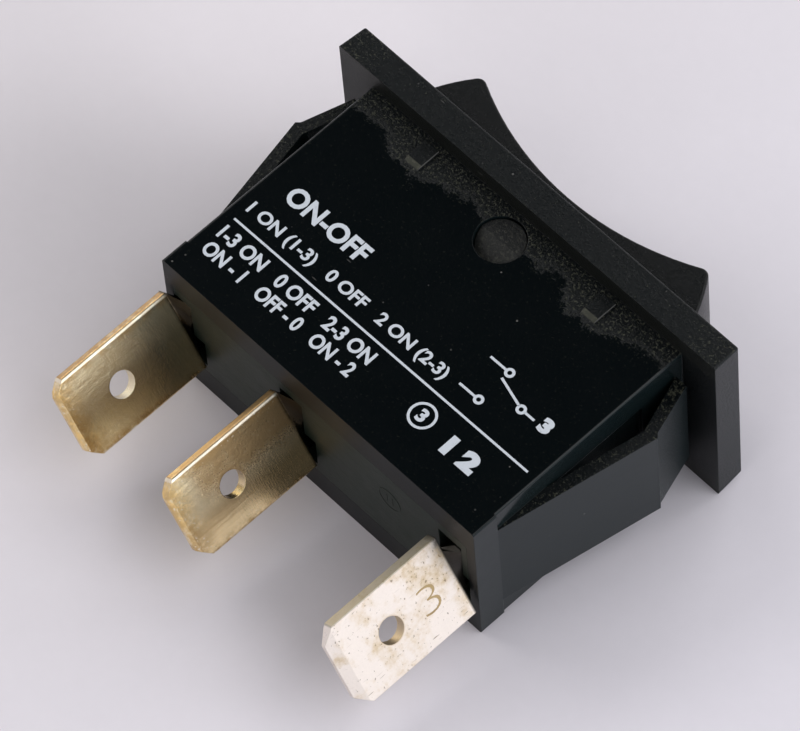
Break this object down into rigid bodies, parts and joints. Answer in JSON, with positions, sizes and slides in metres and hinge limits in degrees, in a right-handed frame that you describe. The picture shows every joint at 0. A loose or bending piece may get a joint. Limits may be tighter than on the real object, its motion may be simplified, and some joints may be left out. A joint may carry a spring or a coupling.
{
  "type": "rocker switch",
  "caption": "Narrow snap-in panel rocker switch, centre-off changeover, with a dished rocker, side snap arms and twisted quick-connect blade terminals.",
  "frame": {"origin": "middle of the panel plane, which is the back face of the bezel, on the axis of the body", "axes": "+X along the switch, towards the upper throw's terminal; +Y into the panel, from the rocker towards the terminals; +Z across the switch, out of the printed broad wall"},
  "size_m": [0.034, 0.0345, 0.0158],
  "materials": {
    "housing": "black nylon, rough on the bezel, glossy on the walls",
    "base_plate": "black moulded plastic",
    "rocker": "black, finely rough",
    "plunger": "natural acetal",
    "spring": "drawn wire",
    "lever": "copper alloy strip",
    "contact": "silver",
    "terminal_upper": "brass, tarnished",
    "terminal_lower": "brass, tarnished",
    "terminal_common": "silver-plated brass, stained"
  },
  "bodies": {
    "housing_body": {"housing": "housing", "base_plate": "base_plate", "terminal_upper": "terminal_upper", "terminal_lower": "terminal_lower", "terminal_common": "terminal_common", "fixed_contact_upper": "contact", "fixed_contact_lower": "contact"},
    "rocker_body": {"rocker": "rocker", "plunger_spring": "spring"},
    "plunger_body": {"plunger": "plunger"},
    "lever_body": {"contact_lever": "lever", "moving_contact": "contact"}
  },
  "joints": [
    {"name": "rocker_tilt", "type": "hinge", "parent": "housing_body", "child": "rocker_body", "pos_m": [0, 0.0022, 0], "axis": [0, 0, 1], "range_deg": [-12, 12]},
    {"name": "lever_tilt", "type": "hinge", "parent": "housing_body", "child": "lever_body", "pos_m": [0, 0.0125, 0], "axis": [0, 0, 1], "range_deg": [-10, 10]},
    {"name": "plunger_slide", "type": "slide", "parent": "rocker_body", "child": "plunger_body", "axis": [0, 1, 0], "range_m": [-0.0005, 0], "stiffness_N_per_m": 600, "springref_m": 0.002, "deforming": ["plunger_spring"]}
  ],
  "couplings": [
    {"joint": "lever_tilt", "follows": "rocker_tilt", "ratio": -0.83333}
  ]
}
